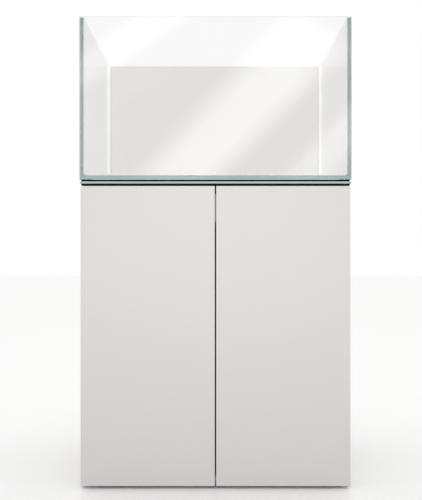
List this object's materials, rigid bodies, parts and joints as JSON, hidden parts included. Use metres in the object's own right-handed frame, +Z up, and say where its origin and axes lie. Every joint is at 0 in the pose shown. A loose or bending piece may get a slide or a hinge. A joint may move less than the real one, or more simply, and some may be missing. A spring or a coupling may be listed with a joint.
{
  "type": "aquarium on stand",
  "caption": "Rimless glass aquarium on a white handle-less cabinet with two push-to-open doors, concealed hinges and levelling feet.",
  "frame": {"origin": "on the floor under the middle of the cabinet", "axes": "+Z up, doors towards -Y, +X to the right seen from the front"},
  "size_m": [0.6, 0.5, 1.043],
  "materials": {
    "clear_glass": "polished",
    "clear_silicone": "satin",
    "black_foam": "matte",
    "white_gloss_board": "gloss",
    "dark_edge_band": "matte",
    "beech_dowel": "matte",
    "zinc_alloy": "satin",
    "bright_steel": "satin",
    "nickel_steel": "polished",
    "grey_plastic": "matte",
    "magnet_tip": "satin",
    "black_plastic": "matte"
  },
  "bodies": {
    "cabinet": {"back_screws": "bright_steel", "base_glass_plate": "clear_glass", "cabinet_back": "white_gloss_board", "cabinet_bottom": "white_gloss_board", "cabinet_left_side": "white_gloss_board", "cabinet_mat": "black_foam", "cabinet_right_side": "white_gloss_board", "cabinet_top": "white_gloss_board", "cam_bolts": "bright_steel", "cam_locks": "zinc_alloy", "foot_inserts": "bright_steel", "front_rail": "white_gloss_board", "hinge_arm_pins": "bright_steel", "hinge_arm_screws": "bright_steel", "left_latch_housing": "grey_plastic", "left_latch_spring": "bright_steel", "left_lower_hinge_arm": "nickel_steel", "left_mounting_plates": "nickel_steel", "left_upper_hinge_arm": "nickel_steel", "mounting_plate_screws": "bright_steel", "right_latch_housing": "grey_plastic", "right_latch_spring": "bright_steel", "right_lower_hinge_arm": "nickel_steel", "right_mounting_plates": "nickel_steel", "right_upper_hinge_arm": "nickel_steel", "tank_back_pane": "clear_glass", "tank_bottom_pane": "clear_glass", "tank_corner_seams": "clear_silicone", "tank_floor_seam": "clear_silicone", "tank_front_pane": "clear_glass", "tank_left_pane": "clear_glass", "tank_mat": "black_foam", "tank_right_pane": "clear_glass", "top_edge_band": "dark_edge_band", "wood_dowels": "beech_dowel"},
    "left_links": {"left_hinge_links": "nickel_steel"},
    "left_door_leaf": {"left_door": "white_gloss_board", "left_upper_hinge_cup": "nickel_steel", "left_lower_hinge_cup": "nickel_steel", "left_cup_pins": "bright_steel", "left_cup_screws": "bright_steel", "left_strike_plate": "bright_steel"},
    "left_plunger": {"left_latch_plunger": "magnet_tip"},
    "right_links": {"right_hinge_links": "nickel_steel"},
    "right_door_leaf": {"right_door": "white_gloss_board", "right_upper_hinge_cup": "nickel_steel", "right_lower_hinge_cup": "nickel_steel", "right_cup_pins": "bright_steel", "right_cup_screws": "bright_steel", "right_strike_plate": "bright_steel"},
    "right_plunger": {"right_latch_plunger": "magnet_tip"},
    "front_left_foot_body": {"front_left_foot": "black_plastic"},
    "front_right_foot_body": {"front_right_foot": "black_plastic"},
    "rear_left_foot_body": {"rear_left_foot": "black_plastic"},
    "rear_right_foot_body": {"rear_right_foot": "black_plastic"}
  },
  "joints": [
    {"name": "left_door_swing", "type": "hinge", "parent": "left_links", "child": "left_door_leaf", "pos_m": [-0.284, -0.235, 0.323], "axis": [0, 0, -1], "range_deg": [0, 134.9]},
    {"name": "left_link_turn", "type": "hinge", "parent": "cabinet", "child": "left_links", "pos_m": [-0.258, -0.222, 0.323], "axis": [0, 0, 1], "range_deg": [0, 39.91]},
    {"name": "left_latch_travel", "type": "slide", "parent": "cabinet", "child": "left_plunger", "axis": [0, -1, 0], "range_m": [0, 0.0141], "deforming": ["left_latch_spring"]},
    {"name": "right_door_swing", "type": "hinge", "parent": "right_links", "child": "right_door_leaf", "pos_m": [0.284, -0.235, 0.323], "axis": [0, 0, 1], "range_deg": [0, 134.9]},
    {"name": "right_link_turn", "type": "hinge", "parent": "cabinet", "child": "right_links", "pos_m": [0.258, -0.222, 0.323], "axis": [0, 0, -1], "range_deg": [0, 39.91]},
    {"name": "right_latch_travel", "type": "slide", "parent": "cabinet", "child": "right_plunger", "axis": [0, -1, 0], "range_m": [0, 0.0141], "deforming": ["right_latch_spring"]},
    {"name": "front_left_foot_height", "type": "slide", "parent": "cabinet", "child": "front_left_foot_body", "axis": [0, 0, -1], "range_m": [0, 0.01]},
    {"name": "front_right_foot_height", "type": "slide", "parent": "cabinet", "child": "front_right_foot_body", "axis": [0, 0, -1], "range_m": [0, 0.01]},
    {"name": "rear_left_foot_height", "type": "slide", "parent": "cabinet", "child": "rear_left_foot_body", "axis": [0, 0, -1], "range_m": [0, 0.01]},
    {"name": "rear_right_foot_height", "type": "slide", "parent": "cabinet", "child": "rear_right_foot_body", "axis": [0, 0, -1], "range_m": [0, 0.01]}
  ],
  "couplings": [
    {"joint": "left_link_turn", "follows": "left_door_swing", "ratio": 0.29578},
    {"joint": "left_latch_travel", "follows": "left_door_swing", "m_per_rad": 0.005946},
    {"joint": "right_link_turn", "follows": "right_door_swing", "ratio": 0.29578},
    {"joint": "right_latch_travel", "follows": "right_door_swing", "m_per_rad": 0.005946}
  ]
}
